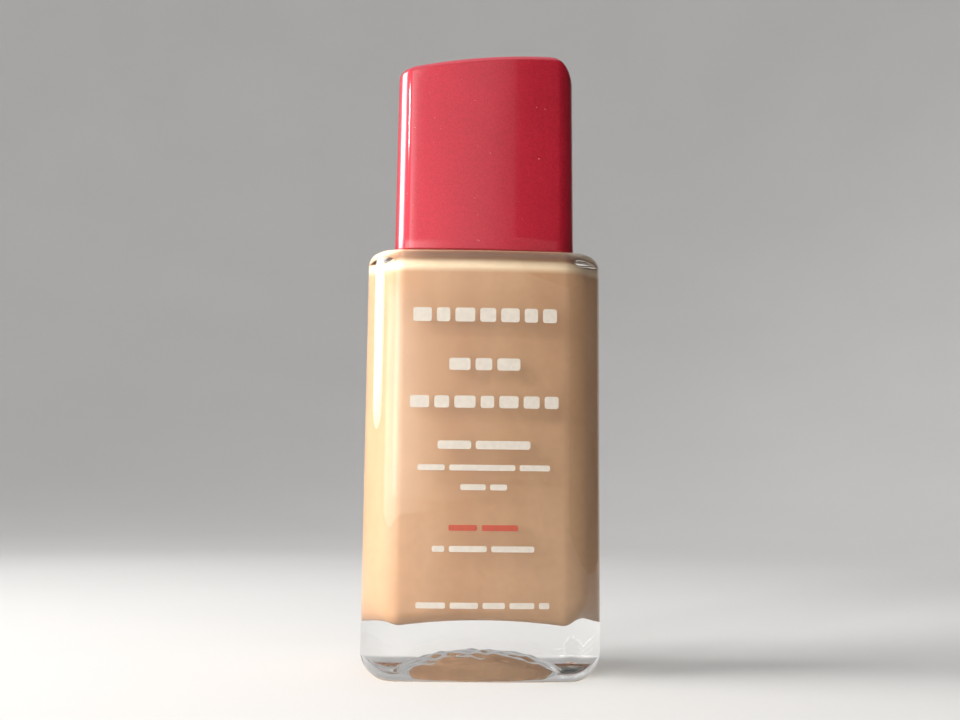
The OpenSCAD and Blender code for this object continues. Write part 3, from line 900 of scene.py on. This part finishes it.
def fade_edges(lamp, edge):
    """Dims a panel smoothly over its outer part, so that its reflections have soft edges."""
    lamp.use_nodes = True
    tree = lamp.node_tree
    place = tree.nodes.new("ShaderNodeSeparateXYZ")
    tree.links.new(tree.nodes.new("ShaderNodeNewGeometry").outputs["Parametric"], place.inputs[0])
    both = tree.nodes.new("ShaderNodeMath")
    both.operation = "MULTIPLY"
    for k, axis in enumerate("XY"):
        away = tree.nodes.new("ShaderNodeMath")
        away.operation = "PINGPONG"
        away.inputs[1].default_value = 0.5
        tree.links.new(place.outputs[axis], away.inputs[0])
        fade = tree.nodes.new("ShaderNodeMapRange")
        fade.interpolation_type = "SMOOTHSTEP"
        fade.inputs["From Max"].default_value = edge / 2
        tree.links.new(away.outputs[0], fade.inputs["Value"])
        tree.links.new(fade.outputs["Result"], both.inputs[k])
    tree.links.new(both.outputs[0], tree.nodes["Emission"].inputs["Strength"])


def area_light(name, place, target, size, power, colour=(1, 1, 1), spread=180, edge=0.5):
    """A soft-edged panel; spread is the beam's angle in degrees.

    Edge is the share of each half that fades, half of it outside the size.
    Power is what an evenly lit panel of that size would give.
    """
    grow = 1 / (1 - edge / 2)
    lamp = bpy.data.lights.new(name, "AREA")
    lamp.shape = "RECTANGLE"
    lamp.size, lamp.size_y = size[0] * grow, size[1] * grow
    lamp.energy = power * grow * grow
    lamp.color = colour
    lamp.spread = math.radians(spread)
    fade_edges(lamp, edge)
    panel = bpy.data.objects.new(name, lamp)
    panel.location = place
    panel.rotation_euler = (Vector(target) - Vector(place)).to_track_quat("-Z", "Y").to_euler()
    panel.visible_camera = False
    bpy.context.scene.collection.objects.link(panel)


def build_lights(middle):
    area_light("key", (-0.52, -0.62, 0.38), middle, (0.05, 0.05), 1.2, (1.0, 0.97, 0.92))
    area_light("left_window", (-0.6, -0.07, 0.29), middle, (0.4, 0.44), 2.6, spread=90)
    area_light("front_left", (-0.17, -0.48, 0.215), middle, (0.12, 0.42), 0.4)
    area_light("front_soft", (-0.085, -0.50, 0.215), middle, (0.27, 0.42), 0.2)
    area_light("low_left", (-0.25, -0.43, 0.078), middle, (0.36, 0.14), 0.6)
    area_light("top_soft", (-0.15, -0.35, 0.8), middle, (0.5, 0.5), 0.5)
    room_colour, room_strength = (0.92, 0.95, 1.0, 1.0), 0.85
    world = bpy.data.worlds.new("soft_room")
    world.use_nodes = True
    background = world.node_tree.nodes["Background"]
    background.inputs["Color"].default_value = room_colour
    background.inputs["Strength"].default_value = room_strength
    bpy.context.scene.world = world
    bpy.context.scene.view_settings.view_transform = "Standard"


def build_flag():
    """A black folding screen at the right, out of the camera's sight, that deepens that side.

    Its front leaf reaches further round above lean_z, so that the cap mirrors more of it.
    """
    back, fold, low_end, high_end = (0.26, 0.22), (0.26, -0.3), (0.15, -0.47), (0.083, -0.574)
    lean_z, full_z, top_z = 0.15, 0.21, 0.5
    points = [(*back, 0.0), (*fold, 0.0), (*low_end, 0.0), (*low_end, lean_z)]
    points += [(*high_end, full_z), (*high_end, top_z), (*fold, top_z), (*back, top_z)]
    mesh = bpy.data.meshes.new("dark_flag")
    mesh.from_pydata(points, [], [[0, 1, 6, 7], [1, 2, 3, 4, 5, 6]])
    cloth = Nodes("black_cloth")
    cloth.set(Base_Color=CLOTH_BLACK, Roughness=0.9)
    mesh.materials.append(cloth.material)
    flag = bpy.data.objects.new("dark_flag", mesh)
    flag.visible_camera = False
    flag.visible_shadow = False
    bpy.context.scene.collection.objects.link(flag)


def build_camera(ground_z):
    """A near, slightly low and slightly left view of the printed face, a hair out of level."""
    yaw, pitch, roll = math.radians(2.2), math.radians(7.0), math.radians(0.59)
    distance, aim_x, aim_height = 0.1868, -0.0002, 0.05108
    level = math.cos(pitch)
    forward = Vector((math.sin(yaw) * level, math.cos(yaw) * level, math.sin(pitch)))
    target = Vector((aim_x, 0, ground_z + aim_height))
    lens = bpy.data.cameras.new("camera")
    lens.sensor_width = 36.0
    lens.lens = 41.25
    lens.clip_start = 0.005
    camera = bpy.data.objects.new("camera", lens)
    turn = forward.to_track_quat("-Z", "Y").to_matrix() @ Matrix.Rotation(roll, 3, "Z")
    camera.matrix_world = Matrix.Translation(target - forward * distance) @ turn.to_4x4()
    bpy.context.scene.collection.objects.link(camera)
    bpy.context.scene.camera = camera


low_corner, high_corner = Vector(cad_bounds[0]), Vector(cad_bounds[1])
centre = Vector((0, 0, (low_corner.z + high_corner.z) / 2))
build_camera(low_corner.z)
build_glass()
build_foundation()
white_ink, red_ink = ink_material("white_ink", WHITE_INK), ink_material("red_ink", RED_INK)
build_print("white_ink_marks", WHITE_LINES, white_ink, "white_print")
build_print("red_ink_marks", RED_LINES, red_ink, "red_print")
build_label()
build_liner()
build_inner_cap()
build_cap_shell()
build_stage()
build_flag()
build_lights(centre)
